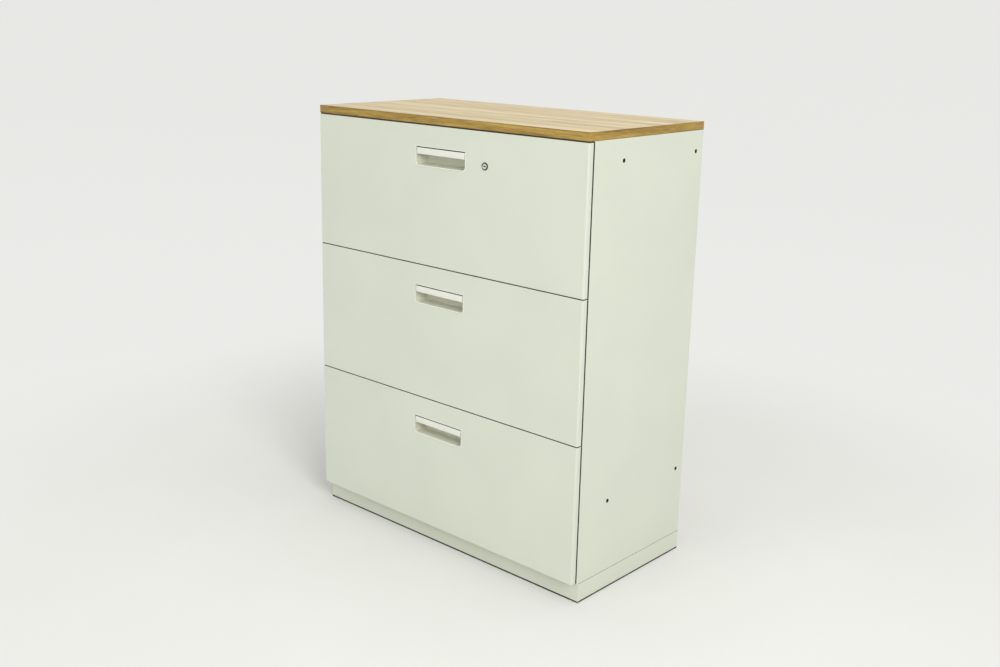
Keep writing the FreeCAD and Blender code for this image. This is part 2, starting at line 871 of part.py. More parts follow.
def slide_member(outline, centre):
    """One folded slide member on the right, from its (z, x) outline about the slide's middle."""
    path = [(centre + z, x) for z, x in outline]
    return folded(path, slide_sheet, "y", slide_start, slide_length)


def slides(index):
    """The outer, middle and inner members of a drawer's two slides, nested with a running gap."""
    centre = front_bottom(index) + slide_rise
    step = slide_sheet + slide_clearance
    half = slide_height / 2
    mouth = upright_face - slide_reach
    outer = [
        (half - slide_outer_lip, mouth),
        (half, mouth),
        (half, upright_face),
        (-half, upright_face),
        (-half, mouth),
        (-half + slide_outer_lip, mouth),
    ]
    half_middle = half - step
    mouth_middle = mouth + step
    lip = half_middle - slide_middle_lip
    middle = [
        (lip, mouth_middle),
        (half_middle, mouth_middle),
        (half_middle, upright_face - step),
        (-half_middle, upright_face - step),
        (-half_middle, mouth_middle),
        (-lip, mouth_middle),
    ]
    waist = lip - slide_clearance
    hook_line = mouth_middle + step
    inner = [
        (-waist - slide_inner_lip, hook_line),
        (-waist, hook_line),
        (-waist, tray_half),
        (waist, tray_half),
        (waist, hook_line),
        (waist + slide_inner_lip, hook_line),
    ]
    members = {}
    for name, outline in (("outer", outer), ("middle", middle), ("inner", inner)):
        right = slide_member(outline, centre)
        members[name] = (mirrored(right), right)
    return members


def tray_side(index):
    """Right-hand side of a tray: hem at the top, ledge for the floor at the bottom."""
    low = front_bottom(index) + tray_rise
    high = low + tray_height
    path = [
        (high, tray_half + tray_hem),
        (high, tray_half),
        (low, tray_half),
        (low, tray_half - tray_ledge),
    ]
    return folded(path, tray_sheet, "y", front_thickness, tray_end - front_thickness)


def tray_floor(index):
    """Floor on the ledges, flanged at the front and the back, with slots for dividers."""
    low = front_bottom(index) + tray_rise + tray_sheet
    path = [
        (front_thickness, low + tray_flange),
        (front_thickness, low),
        (tray_end, low),
        (tray_end, low + tray_flange),
    ]
    width = tray_half - tray_sheet - tray_floor_clearance
    floor = folded(path, tray_sheet, "x", -width, 2 * width)
    count = int((width - divider_slot_pitch / 2) // divider_slot_pitch)
    for y in divider_slot_rows:
        for place in range(-count, count + 1):
            x = place * divider_slot_pitch
            slot_x = (x - divider_slot_width / 2, x + divider_slot_width / 2)
            slot_y = (y - divider_slot_length / 2, y + divider_slot_length / 2)
            floor = floor.cut(box(slot_x, slot_y, (low - tray_sheet, low + 2 * tray_sheet)))
    return single(floor)


def tray_back(index):
    """Back of a tray, hemmed at the top."""
    low = front_bottom(index) + tray_rise
    high = low + tray_height
    path = [
        (tray_end + tray_back_hem, high),
        (tray_end, high),
        (tray_end, low),
    ]
    return folded(path, tray_sheet, "x", -tray_half, 2 * tray_half)


os.makedirs("parts", exist_ok=True)

worktop()
panel = side_panel()
save("side_panel_right", panel)
save("side_panel_left", single(mirrored(panel)))
channels = upright_pair()
save("slide_uprights_right", *channels)
save("slide_uprights_left", *[mirrored(channel) for channel in channels])
save("body_top_frame", top_frame())
save("body_bottom_pan", bottom_pan())
save("back_panel", back_panel())
save("base_frame", base_frame())
save("front_bumpers", *bumpers())
for corner, centre in foot_centres().items():
    save("levelling_foot_" + corner, foot(centre))

for index, name in enumerate(drawer_names):
    save(name + "_drawer_front", drawer_front(index))
    save(name + "_drawer_liner", drawer_liner(index))
    save(name + "_handle_cup", handle_cup(index))
    save(name + "_latch_lever", latch_lever(index))
    save(name + "_latch_rod", latch_rod(index))
    save(name + "_latch_spring", latch_spring(index))
    side = tray_side(index)
    save(name + "_tray_side_right", side)
    save(name + "_tray_side_left", mirrored(side))
    save(name + "_tray_floor", tray_floor(index))
    save(name + "_tray_back", tray_back(index))
    for member, pair in slides(index).items():
        save(name + "_slide_" + member, *pair)

save("lock_barrel", lock_barrel())
save("lock_plug", lock_plug())
save("lock_crank", lock_crank())
save("lock_nut", lock_nut())
save("lock_bolt", lock_bolt())
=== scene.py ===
import math
import bmesh
import bpy
import numpy as np
from mathutils import Matrix, Vector


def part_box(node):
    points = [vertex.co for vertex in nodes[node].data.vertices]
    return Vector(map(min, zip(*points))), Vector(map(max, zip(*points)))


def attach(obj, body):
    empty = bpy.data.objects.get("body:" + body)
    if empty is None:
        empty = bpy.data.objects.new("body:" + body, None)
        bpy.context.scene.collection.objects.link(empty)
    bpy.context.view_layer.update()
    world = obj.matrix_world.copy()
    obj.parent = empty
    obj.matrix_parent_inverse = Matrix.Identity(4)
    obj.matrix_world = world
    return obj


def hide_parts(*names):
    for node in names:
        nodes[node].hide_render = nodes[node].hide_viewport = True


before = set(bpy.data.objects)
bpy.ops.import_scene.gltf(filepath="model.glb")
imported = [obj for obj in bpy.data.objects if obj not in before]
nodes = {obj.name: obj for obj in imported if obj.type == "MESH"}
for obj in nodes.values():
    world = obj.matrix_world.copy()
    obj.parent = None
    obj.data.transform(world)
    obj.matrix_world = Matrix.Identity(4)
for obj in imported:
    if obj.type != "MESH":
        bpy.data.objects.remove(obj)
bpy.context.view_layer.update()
print("frame loaded:", len(nodes), "nodes")


def linear(hexColour, alpha=1.0):
    # sRGB hex to the linear colour that Blender's sockets take
    value = hexColour.lstrip("#")
    parts = [int(value[i:i + 2], 16) / 255 for i in (0, 2, 4)]
    return [c / 12.92 if c <= 0.04045 else ((c + 0.055) / 1.055) ** 2.4 for c in parts] + [alpha]


def addNode(tree, kind, settings=None, links=None):
    # adds one node; settings are attributes or socket values, links are socket -> (node, output)
    node = tree.nodes.new(kind)
    for key, value in (settings or {}).items():
        if isinstance(key, str) and hasattr(node, key):
            setattr(node, key, value)
        else:
            node.inputs[key].default_value = value
    for key, (source, output) in (links or {}).items():
        tree.links.new(source.outputs[output], node.inputs[key])
    return node


def startMaterial(name):
    material = bpy.data.materials.new(name)
    material.use_nodes = True
    tree = material.node_tree
    tree.nodes.clear()
    return material, tree


def closeMaterial(material, tree, links, settings=None):
    # ends a material in one shader; settings are the values that are the same all over
    shader = addNode(tree, "ShaderNodeBsdfPrincipled", settings, links)
    addNode(tree, "ShaderNodeOutputMaterial", links={"Surface": (shader, "BSDF")})
    return material


def setRamp(node, stops):
    ramp = node.color_ramp
    while len(ramp.elements) < len(stops):
        ramp.elements.new(0.5)
    for element, (position, colour) in zip(ramp.elements, stops):
        element.position = position
        element.color = colour


def gridPiece(name, grid, wrapU=False, wrapV=False, capStart=False, capEnd=False):
    # A grid of points (u, v, xyz) becomes quads; wrapV closes each row, a cap fans a row to its mean point.
    countU, countV = grid.shape[:2]
    points = grid.reshape(-1, 3)
    rowsU = countU if wrapU else countU - 1
    colsV = countV if wrapV else countV - 1
    u, v = np.meshgrid(np.arange(rowsU), np.arange(colsV), indexing="ij")
    nextU, nextV = (u + 1) % countU, (v + 1) % countV
    quads = [u * countV + v, u * countV + nextV, nextU * countV + nextV, nextU * countV + v]
    faces = np.stack(quads, -1).reshape(-1, 4).tolist()
    for wanted, row, turn in ((capStart, 0, True), (capEnd, countU - 1, False)):
        if wanted:
            middle = len(points)
            points = np.vstack([points, grid[row].mean(0)])
            first = row * countV + np.arange(colsV)
            second = row * countV + (np.arange(colsV) + 1) % countV
            fan = np.stack([second, first] if turn else [first, second], -1)
            faces += np.column_stack([fan, np.full(len(fan), middle)]).tolist()
    mesh = bpy.data.meshes.new(name)
    mesh.from_pydata(points.tolist(), [], faces)
    mesh.update()
    piece = bpy.data.objects.new(name, mesh)
    bpy.context.scene.collection.objects.link(piece)
    return piece


def turned(name, profile, centre, axis="y", segments=96):
    # A closed (radius, along) profile turned about a line through centre, parallel to x or y; mm
    profile = np.array(profile, float)
    angle = np.linspace(0, 2 * math.pi, segments, endpoint=False)
    radius, along = profile[:, 0][:, None], profile[:, 1][:, None] + np.zeros(segments)
    first, second = radius * np.cos(angle), radius * np.sin(angle)
    order = (first, along, second) if axis == "y" else (along, first, second)
    return gridPiece(name, (np.stack(order, -1) + np.array(centre)) / 1000, wrapU=True, wrapV=True)


def joinPieces(name, parts):
    # one object from several closed shells
    vertices, faces, start = [], [], 0
    for part in parts:
        mesh = part.data
        flat = np.empty(len(mesh.vertices) * 3)
        mesh.vertices.foreach_get("co", flat)
        vertices.append(flat.reshape(-1, 3))
        faces += [[i + start for i in p.vertices] for p in mesh.polygons]
        start += len(mesh.vertices)
        bpy.data.objects.remove(part)
        bpy.data.meshes.remove(mesh)
    mesh = bpy.data.meshes.new(name)
    mesh.from_pydata(np.vstack(vertices).tolist(), [], faces)
    piece = bpy.data.objects.new(name, mesh)
    bpy.context.scene.collection.objects.link(piece)
    return piece


def finishPiece(piece, material, body, smoothAngle=40):
    # outward faces, smooth shading up to an angle, finish and body
    work = bmesh.new()
    work.from_mesh(piece.data)
    bmesh.ops.remove_doubles(work, verts=work.verts, dist=1e-7)
    bmesh.ops.recalc_face_normals(work, faces=work.faces)
    work.to_mesh(piece.data)
    work.free()
    piece.data.shade_smooth()
    piece.data.set_sharp_from_angle(angle=math.radians(smoothAngle))
    piece.data.materials.append(material)
    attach(piece, body)
    return piece


view = {
    "place": (1.97569, -2.222349, 1.364108),  # metres, in the frame of the CAD
    "turn": 42.656,        # degrees round from the front
    "down": 14.396,
    "roll": 1.0715,
    "lens": 41.887,        # mm
    "sensor": 36,          # mm wide
    "shift": (0.02169, -0.02237),
    "clipEnd": 60,
}
turn, down, roll = (math.radians(view[k]) for k in ("turn", "down", "roll"))
ahead = Vector((-math.sin(turn) * math.cos(down), math.cos(turn) * math.cos(down), -math.sin(down)))
sideways = ahead.cross(Vector((0, 0, 1))).normalized()
upward = sideways.cross(ahead)
rolledRight = sideways * math.cos(roll) + upward * math.sin(roll)
rolledUp = upward * math.cos(roll) - sideways * math.sin(roll)
camera = bpy.data.objects.new("photoCamera", bpy.data.cameras.new("photoCamera"))
bpy.context.scene.collection.objects.link(camera)
axes = Matrix((rolledRight, rolledUp, -ahead)).transposed().to_4x4()
camera.matrix_world = Matrix.Translation(view["place"]) @ axes
camera.data.lens = view["lens"]
camera.data.sensor_width = view["sensor"]
camera.data.shift_x, camera.data.shift_y = view["shift"]
camera.data.clip_end = view["clipEnd"]
bpy.context.scene.camera = camera
bpy.context.scene.view_settings.view_transform = "Standard"
print("camera set")


paint = {
    "coat": "#DBDFD0",      # pale ivory with a little green
    # the base's colour is a hair lighter than the coat: painted light on the base in the shade of the drawers
    "plinthPaintedLight": "#DCE0D0",
    "tray": "#D6D9CD",
    "peel": 2.6,            # mm across one swelling of the orange peel
    "cloud": 190,           # mm across the faint tone clouds of a sprayed coat
    "tone": 0.018,          # how far the clouds go to either side of the colour
    "nibs": 420.0,          # dust nibs, as the scale of their noise per metre
    "gloss": (0.33, 0.44),  # roughness of the film
}


def powderCoat(name, colour):
    # Polyester powder coat on steel, sprayed and baked: an even satin film with faint orange peel,
    # very soft clouds where the film is thicker, and a few fine dust nibs.
    material, tree = startMaterial(name)
    place = addNode(tree, "ShaderNodeTexCoord")
    cloud = addNode(tree, "ShaderNodeTexNoise", {"Scale": 1000 / paint["cloud"], "Detail": 2.0, "Roughness": 0.45},
                    {"Vector": (place, "Object")})
    speck = addNode(tree, "ShaderNodeTexNoise", {"Scale": paint["nibs"], "Detail": 2.0, "Roughness": 0.6},
                    {"Vector": (place, "Object")})
    base, tone = linear(colour)[:3], paint["tone"]
    light, dark = [min(c * (1 + tone), 1) for c in base] + [1], [c * (1 - tone) for c in base] + [1]
    shade = addNode(tree, "ShaderNodeValToRGB", links={"Fac": (cloud, "Fac")})
    setRamp(shade, [(0.3, dark), (0.7, light)])
    grit = addNode(tree, "ShaderNodeMapRange", {"From Min": 0.68, "From Max": 0.8, "To Min": 0.0, "To Max": 0.05},
                   {"Value": (speck, "Fac")})
    mixed = addNode(tree, "ShaderNodeMix", {"data_type": "RGBA", "blend_type": "MULTIPLY", 7: (0.72, 0.71, 0.66, 1)},
                    {0: (grit, "Result"), 6: (shade, "Color")})
    peel = addNode(tree, "ShaderNodeTexNoise", {"Scale": 1000 / paint["peel"], "Detail": 1.5, "Roughness": 0.4},
                   {"Vector": (place, "Object")})
    bump = addNode(tree, "ShaderNodeBump", {"Strength": 0.06, "Distance": 0.0004}, {"Height": (peel, "Fac")})
    gloss = addNode(tree, "ShaderNodeMapRange", {"To Min": paint["gloss"][0], "To Max": paint["gloss"][1]},
                    {"Value": (cloud, "Fac")})
    links = {"Base Color": (mixed, 2), "Roughness": (gloss, "Result"), "Normal": (bump, "Normal")}
    return closeMaterial(material, tree, links, {"IOR": 1.5})


# the rim's colour is lighter than the lever's: a painted highlight along the lip
plastic = {"lever": "#EAECE1", "cup": "#D9DAC7", "rim": "#EDEFE4", "grain": 0.9}


def mouldedAbs(name, colour, roughness):
    # ABS, injection moulded in an eroded steel tool: matt, fine even grain, no clouding
    material, tree = startMaterial(name)
    place = addNode(tree, "ShaderNodeTexCoord")
    grain = addNode(tree, "ShaderNodeTexNoise", {"Scale": 1000 / plastic["grain"], "Detail": 3.0, "Roughness": 0.6},
                    {"Vector": (place, "Object")})
    flow = addNode(tree, "ShaderNodeTexNoise", {"Scale": 22.0, "Detail": 1.0}, {"Vector": (place, "Object")})
    base = linear(colour)
    shade = addNode(tree, "ShaderNodeValToRGB", links={"Fac": (flow, "Fac")})
    setRamp(shade, [(0.3, [c * 0.975 for c in base[:3]] + [1]), (0.7, base)])
    bump = addNode(tree, "ShaderNodeBump", {"Strength": 0.08, "Distance": 0.0002}, {"Height": (grain, "Fac")})
    gloss = addNode(tree, "ShaderNodeMapRange", {"To Min": roughness - 0.05, "To Max": roughness + 0.07},
                    {"Value": (grain, "Fac")})
    links = {"Base Color": (shade, "Color"), "Roughness": (gloss, "Result"), "Normal": (bump, "Normal")}
    return closeMaterial(material, tree, links, {"IOR": 1.53})


wood = {
    "light": "#E3CFA4", "middle": "#CDB98A", "dark": "#AB9669",
    "streak": 5.0,        # mm between the fine streaks of the print
    "band": 42.0,         # mm between the broad bands
    "length": 22.0,       # how much longer than wide a streak is
    "edgeLight": "#C09F4C", "edgeMiddle": "#A38437", "edgeDark": "#7A5D1E", "edgeDarkTone": "#6A4A17",
    "fibre": 1.6,         # mm between the fibres of the edge band
    "edgeBand": 14.0,     # mm between its broad bands
    "bandShare": 0.42,    # how much of the tone comes from the broad bands
    "pores": 900.0,       # pores, as the scale of their noise per metre
    "bevel": (0.0019, 0.0006),   # metres from the band's edge where the darkening begins and is full
}


def printedOak(name, colours, streak, band, roughness, contrast, darkerEdges=False):
    # Printed oak on melamine: straight grain along the length, fine pores, broad soft bands, satin film
    material, tree = startMaterial(name)
    place = addNode(tree, "ShaderNodeTexCoord")
    lengthways = addNode(tree, "ShaderNodeMapping", {"Scale": (1 / wood["length"], 1.0, 1.0)},
                         {"Vector": (place, "Object")})
    crossways = addNode(tree, "ShaderNodeMapping", {"Scale": (1.0, 1 / wood["length"], 1.0)},
                        {"Vector": (place, "Object")})
    facing = addNode(tree, "ShaderNodeNewGeometry")
    side = addNode(tree, "ShaderNodeSeparateXYZ", links={0: (facing, "Normal")})
    isEnd = addNode(tree, "ShaderNodeMath", {"operation": "ABSOLUTE"}, {0: (side, "X")})
    isEnd = addNode(tree, "ShaderNodeMath", {"operation": "GREATER_THAN", 1: 0.6}, {0: (isEnd, 0)})
    stretch = addNode(tree, "ShaderNodeMix", {"data_type": "VECTOR"},
                      {0: (isEnd, 0), 4: (lengthways, "Vector"), 5: (crossways, "Vector")})
    fine = addNode(tree, "ShaderNodeTexNoise",
                   {"Scale": 1000 / streak, "Detail": 5.0, "Roughness": 0.62, "Distortion": 0.15},
                   {"Vector": (stretch, 1)})
    broad = addNode(tree, "ShaderNodeTexNoise", {"Scale": 1000 / band, "Detail": 2.0, "Roughness": 0.5},
                    {"Vector": (stretch, 1)})
    both = addNode(tree, "ShaderNodeMix", {"data_type": "FLOAT", 0: wood["bandShare"]},
                   {2: (fine, "Fac"), 3: (broad, "Fac")})
    shade = addNode(tree, "ShaderNodeValToRGB", links={"Fac": (both, 0)})
    setRamp(shade, [(0.5 - contrast, linear(colours[2])), (0.5, linear(colours[1])),
                    (0.5 + contrast, linear(colours[0]))])
    pores = addNode(tree, "ShaderNodeTexNoise", {"Scale": wood["pores"], "Detail": 2.0, "Roughness": 0.7},
                    {"Vector": (stretch, 1)})
    dash = addNode(tree, "ShaderNodeMapRange", {"From Min": 0.60, "From Max": 0.72, "To Min": 0.0, "To Max": 0.35},
                   {"Value": (pores, "Fac")})
    mixed = addNode(tree, "ShaderNodeMix", {"data_type": "RGBA", "blend_type": "MULTIPLY", 7: (0.80, 0.72, 0.58, 1)},
                    {0: (dash, "Result"), 6: (shade, "Color")})
    if darkerEdges:        # the band goes darker towards its top and bottom edges
        height = addNode(tree, "ShaderNodeSeparateXYZ", links={0: (place, "Object")})
        low, high = (c.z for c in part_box("worktop_edging"))
        fromMiddle = addNode(tree, "ShaderNodeMath", {"operation": "SUBTRACT", 1: (low + high) / 2},
                             {0: (height, "Z")})
        fromMiddle = addNode(tree, "ShaderNodeMath", {"operation": "ABSOLUTE"}, {0: (fromMiddle, 0)})
        begin, full = ((high - low) / 2 - k for k in wood["bevel"])
        edgeDarkening = addNode(tree, "ShaderNodeMapRange", {"From Min": begin, "From Max": full, "To Max": 0.75},
                       {"Value": (fromMiddle, 0)})
        mixed = addNode(tree, "ShaderNodeMix", {"data_type": "RGBA", 7: linear(wood["edgeDarkTone"])},
                        {0: (edgeDarkening, "Result"), 6: (mixed, 2)})
    bump = addNode(tree, "ShaderNodeBump", {"Strength": 0.10, "Distance": 0.0002}, {"Height": (pores, "Fac")})
    gloss = addNode(tree, "ShaderNodeMapRange", {"To Min": roughness - 0.06, "To Max": roughness + 0.08},
                    {"Value": (fine, "Fac")})
    links = {"Base Color": (mixed, 2), "Roughness": (gloss, "Result"), "Normal": (bump, "Normal")}
    return closeMaterial(material, tree, links, {"IOR": 1.5})


# the two near-black tones of the lock collar are painted shade round the face
metal = {"zinc": "#B9BDBF", "zincWarm": "#C4C1B4", "nickel": "#F1EFE9", "nickelDark": "#D9D7D0",
         "paintedShadeCollar": "#262522", "paintedShadeCollarDark": "#191816"}


def platedSteel(name, light, dark, roughness, drag, paintedKeywayShade=False):
    # Zinc or nickel plate on cold-rolled steel: grey metal with faint cloudy tone and rolling lines along the part
    material, tree = startMaterial(name)
    place = addNode(tree, "ShaderNodeTexCoord")
    stretch = addNode(tree, "ShaderNodeMapping", {"Scale": drag}, {"Vector": (place, "Object")})
    lines = addNode(tree, "ShaderNodeTexNoise", {"Scale": 700.0, "Detail": 3.0, "Roughness": 0.55},
                    {"Vector": (stretch, "Vector")})
    cloud = addNode(tree, "ShaderNodeTexNoise", {"Scale": 38.0, "Detail": 3.0, "Roughness": 0.55},
                    {"Vector": (place, "Object")})
    shade = addNode(tree, "ShaderNodeValToRGB", links={"Fac": (cloud, "Fac")})
    setRamp(shade, [(0.32, linear(dark)), (0.68, linear(light))])
    if paintedKeywayShade:                           # inside the keyway the plug is painted near black: painted shade in the slot
        axis = addNode(tree, "ShaderNodeSeparateXYZ", links={0: (place, "Object")})
        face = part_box("lock_plug")[0].y
        deep = addNode(tree, "ShaderNodeMapRange", {"From Min": face + 0.00005, "From Max": face + 0.0003},
                       {"Value": (axis, "Y")})
        shade = addNode(tree, "ShaderNodeMix", {"data_type": "RGBA", 7: linear("#211F1B")},
                        {0: (deep, "Result"), 6: (shade, "Color")})
    bump = addNode(tree, "ShaderNodeBump", {"Strength": 0.08, "Distance": 0.0001}, {"Height": (lines, "Fac")})
    gloss = addNode(tree, "ShaderNodeMapRange", {"To Min": roughness - 0.08, "To Max": roughness + 0.10},
                    {"Value": (lines, "Fac")})
    colour = (shade, 2 if paintedKeywayShade else "Color")
    links = {"Base Color": colour, "Roughness": (gloss, "Result"), "Normal": (bump, "Normal")}
    return closeMaterial(material, tree, links, {"Metallic": 1.0})


def blackRubber(name):
    # Moulded nitrile rubber: dull black, slightly dusty on top of its grain; the same black is used for the painted
    # shade strips and slots
    material, tree = startMaterial(name)
    place = addNode(tree, "ShaderNodeTexCoord")
    grain = addNode(tree, "ShaderNodeTexNoise", {"Scale": 1500.0, "Detail": 3.0}, {"Vector": (place, "Object")})
    shade = addNode(tree, "ShaderNodeValToRGB", links={"Fac": (grain, "Fac")})
    setRamp(shade, [(0.3, linear("#171716")), (0.75, linear("#272625"))])
    bump = addNode(tree, "ShaderNodeBump", {"Strength": 0.2, "Distance": 0.0002}, {"Height": (grain, "Fac")})
    return closeMaterial(material, tree, {"Base Color": (shade, "Color"), "Normal": (bump, "Normal")},
                         {"Roughness": 0.78})


coatFront = powderCoat("powderCoatIvoryFront", paint["coat"])
coatBody = powderCoat("powderCoatIvoryBody", paint["coat"])
coatPlinthPaintedLight = powderCoat("powderCoatPlinthPaintedLight", paint["plinthPaintedLight"])
coatTray = powderCoat("powderCoatTray", paint["tray"])
absLever = mouldedAbs("absLever", plastic["lever"], 0.42)
absCup = mouldedAbs("absCup", plastic["cup"], 0.50)
# the rim takes a lighter copy of the plastic, a painted highlight on the lip
absRimPaintedHighlight = mouldedAbs("absPolishedRimPaintedHighlight", plastic["rim"], 0.24)
oakTop = printedOak("melaminePrintedOak", (wood["light"], wood["middle"], wood["dark"]),
                    wood["streak"], wood["band"], roughness=0.40, contrast=0.125)
oakEdge = printedOak("edgeBandOak", (wood["edgeLight"], wood["edgeMiddle"], wood["edgeDark"]),
                     wood["fibre"], wood["edgeBand"], roughness=0.45, contrast=0.13, darkerEdges=True)
zinc = platedSteel("zincPlatedSteel", metal["zinc"], metal["zincWarm"], 0.36, (1.0, 0.04, 1.0))
nickel = platedSteel("nickelPlatedBrass", metal["nickel"], metal["nickelDark"], 0.28, (1.0, 1.0, 1.0))
# the plug's material paints shade inside its keyway
plugFaceAndKeywayShade = platedSteel("nickelPlugPaintedKeywayShade", metal["nickel"], metal["nickelDark"], 0.30, (1.0, 1.0, 1.0), paintedKeywayShade=True)
paintedShadeCollar = platedSteel("paintedShadeCollarPlate", metal["paintedShadeCollar"], metal["paintedShadeCollarDark"], 0.34, (1.0, 1.0, 1.0))
rubberAndShade = blackRubber("nitrileRubberAndPaintedShade")

finishes = {
    "worktop_board": oakTop, "worktop_edging": oakEdge, "base_frame": coatPlinthPaintedLight, "front_bumpers": rubberAndShade,
    "side_panel": coatBody, "body_top_frame": coatBody, "body_bottom_pan": coatBody, "back_panel": coatBody,
    "slide_uprights": zinc, "levelling_foot": zinc, "drawer_front": coatFront, "drawer_liner": coatFront,
    "handle_cup": absCup, "latch_lever": absLever, "latch_rod": zinc, "latch_spring": zinc, "tray": coatTray,
    "slide_outer": zinc, "slide_middle": zinc, "slide_inner": zinc, "lock": nickel, "lock_plug": plugFaceAndKeywayShade,
}
for name, node in nodes.items():
    finish = next(finishes[k] for k in sorted(finishes, key=len, reverse=True) if k in name)
    node.data.materials.clear()
    node.data.materials.append(finish)
print("materials on the CAD nodes")


lever = {
    "width": 161.4, "height": 18.5, "faceLow": -0.7, "faceHigh": 0.0, "armFront": 5.0, "thick": 3.6, "topGap": 2.7,
    "lip": 5.3, "lipHeight": 2.4, "hub": 5.0, "rodY": 8.0, "rodRise": 9.0, "round": 0.7, "shadeStrip": 0.4,   # mm
}
halfWidth = 450                          # mm, half of the cabinet's width
handleDrop = 52.3                        # mm from the top of a drawer front to its handle
levels = ("top", "middle", "bottom")
handleTops = {level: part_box(level + "_drawer_front")[1].z * 1000 - handleDrop for level in levels}
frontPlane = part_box("top_drawer_front")[0].y * 1000    # mm, the face of the drawers


def roundedLoop(corners, radii, steps=6):
    # A closed polygon with each corner replaced by a curve from one tangent point to the other.
    corners = np.array(corners, float)
    radii = np.array(radii, float)
    before, after = np.roll(corners, 1, 0), np.roll(corners, -1, 0)
    toBefore, toAfter = before - corners, after - corners
    lengthBefore = np.linalg.norm(toBefore, axis=1, keepdims=True)
    lengthAfter = np.linalg.norm(toAfter, axis=1, keepdims=True)
    half = np.arccos(np.clip(((toBefore / lengthBefore) * (toAfter / lengthAfter)).sum(1), -0.999, 0.999)) / 2
    cut = np.minimum(radii / np.tan(half), 0.49 * np.minimum(lengthBefore, lengthAfter)[:, 0])[:, None]
    start, end = corners + toBefore / lengthBefore * cut, corners + toAfter / lengthAfter * cut
    t = np.linspace(0, 1, steps + 1)[None, :, None]
    curve = (1 - t) ** 2 * start[:, None] + 2 * t * (1 - t) * corners[:, None] + t ** 2 * end[:, None]
    return curve.reshape(-1, 2)


def inset(loop, amount):
    # moves each point of a closed loop inwards along the mean of its two edge normals
    edge = np.roll(loop, -1, 0) - loop
    length = np.maximum(np.linalg.norm(edge, axis=1, keepdims=True), 1e-9)
    normal = np.stack([-edge[:, 1], edge[:, 0]], 1) / length
    if (loop[:, 0] * np.roll(loop[:, 1], -1) - np.roll(loop[:, 0], -1) * loop[:, 1]).sum() < 0:
        normal = -normal
    mean = normal + np.roll(normal, 1, 0)
    mean /= np.maximum(np.linalg.norm(mean, axis=1, keepdims=True), 1e-9)
    return loop + mean * amount


def prism(name, plan, low, high):
    # a closed (x, y) loop carried straight up from low to high; mm
    rings = np.stack([np.column_stack([plan, np.full(len(plan), z)]) for z in (low, high)])
    return gridPiece(name, rings / 1000, wrapV=True, capStart=True, capEnd=True)


def cornered(left, right, front, back, radius, backRadius=0.3):
    # a rectangle in plan with round front corners
    return roundedLoop([(left, front), (right, front), (right, back), (left, back)],
                       [radius, radius, backRadius, backRadius], 8)


def makeLever(level):
    # The flap: one (y, z) section carried along x, drawn in at both ends on a quarter circle.
    top = handleTops[level]
    low, faceTop, axis = top - lever["height"], top - lever["topGap"], top + lever["rodRise"]
    slope = (lever["faceHigh"] - lever["faceLow"]) / (faceTop - low)
    hub, rodY, lipTop, neck = lever["hub"], lever["rodY"], low + lever["lipHeight"], axis - lever["hub"] * 0.9
    lipBack, armBack, webLow = lever["faceLow"] + lever["lip"] + 1.0, lever["armFront"] + 2.6, faceTop - 2.6
    armFront, eighth = lever["armFront"], 1.9                   # the hub is an octagon with half sides of this length
    corners = [(lever["faceLow"], low), (lipBack, low), (lipBack, lipTop),
               (lever["faceLow"] + slope * lever["lipHeight"] + lever["thick"], lipTop),
               (lever["faceHigh"] + lever["thick"], webLow), (armBack, webLow), (armBack + 0.6, neck),
               (rodY + hub, axis - eighth), (rodY + hub, axis + eighth), (rodY + eighth, axis + hub),
               (rodY - eighth, axis + hub), (rodY - hub, axis + eighth), (rodY - hub, axis - eighth),
               (armFront, neck), (armFront, faceTop), (lever["faceHigh"], faceTop)]
    radii = [1.1, 1.0, 0.9, 1.0, 1.0, 1.0, 1.0, 2.0, 2.0, 2.0, 2.0, 2.0, 2.0, 0.8, 0.8, 1.0]
    section = roundedLoop(corners, radii)
    half, bend = lever["width"] / 2, lever["round"]
    angle = np.linspace(0, math.pi / 2, 6)
    ends = half - bend * (1 - np.sin(angle))
    alongX = np.concatenate([-ends[::-1], np.linspace(-half + bend, half - bend, 9)[1:-1], ends])
    draw = np.concatenate([bend * (1 - np.cos(angle))[::-1], np.zeros(7), bend * (1 - np.cos(angle))])
    rings = np.stack([np.column_stack([np.full(len(section), x), inset(section, d)]) for x, d in zip(alongX, draw)])
    rings[..., 1] += frontPlane
    piece = gridPiece(level + "Lever", rings / 1000, wrapV=True, capStart=True, capEnd=True)
    finishPiece(piece, absLever, level + "_latch")
    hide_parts(level + "_latch_lever")
    # black strips as painted shade in the gaps round the lever: along its top edge, up its arm, and behind both ends
    shadeStrip, x = lever["shadeStrip"], half - 0.8
    strips = [(-x, x, 0.5, armFront + 0.2, faceTop - 0.2, faceTop + shadeStrip),
              (-x, x, armFront - shadeStrip, armFront + 0.2, faceTop, faceTop + 2.8)]
    for a, b in ((-half - 1.4, -half + 1.2), (half - 1.2, half + 1.4)):
        strips.append((a, b, 1.3, 3.6, low + 2.5, faceTop - 1))
    boxes = []
    for x0, x1, y0, y1, z0, z1 in strips:
        boxes.append(prism("shadeStrip", cornered(x0, x1, y0 + frontPlane, y1 + frontPlane, 0.02, 0.02), z0, z1))
    finishPiece(joinPieces(level + "LeverShadeStrips", boxes), rubberAndShade, level + "_latch")


for level in handleTops:
    makeLever(level)
print("latch levers made")


handle = {
    "half": 83.0, "height": 45.4, "corner": 8.5,                 # mm, the opening
    "deep": 32.0, "draft": 0.36, "draftFrom": 6.0, "rise": 2.5,  # sides close in towards the back, the floor rises
    "wall": 1.2, "thin": 0.35, "roofFrom": 9.4, "roofDrop": 2.0, "backRound": 3.5,
    "rimWide": 1.7, "rimProud": 0.6, "lipWide": 1.5, "lipProud": 1.2, "rimBack": 1.4,
}


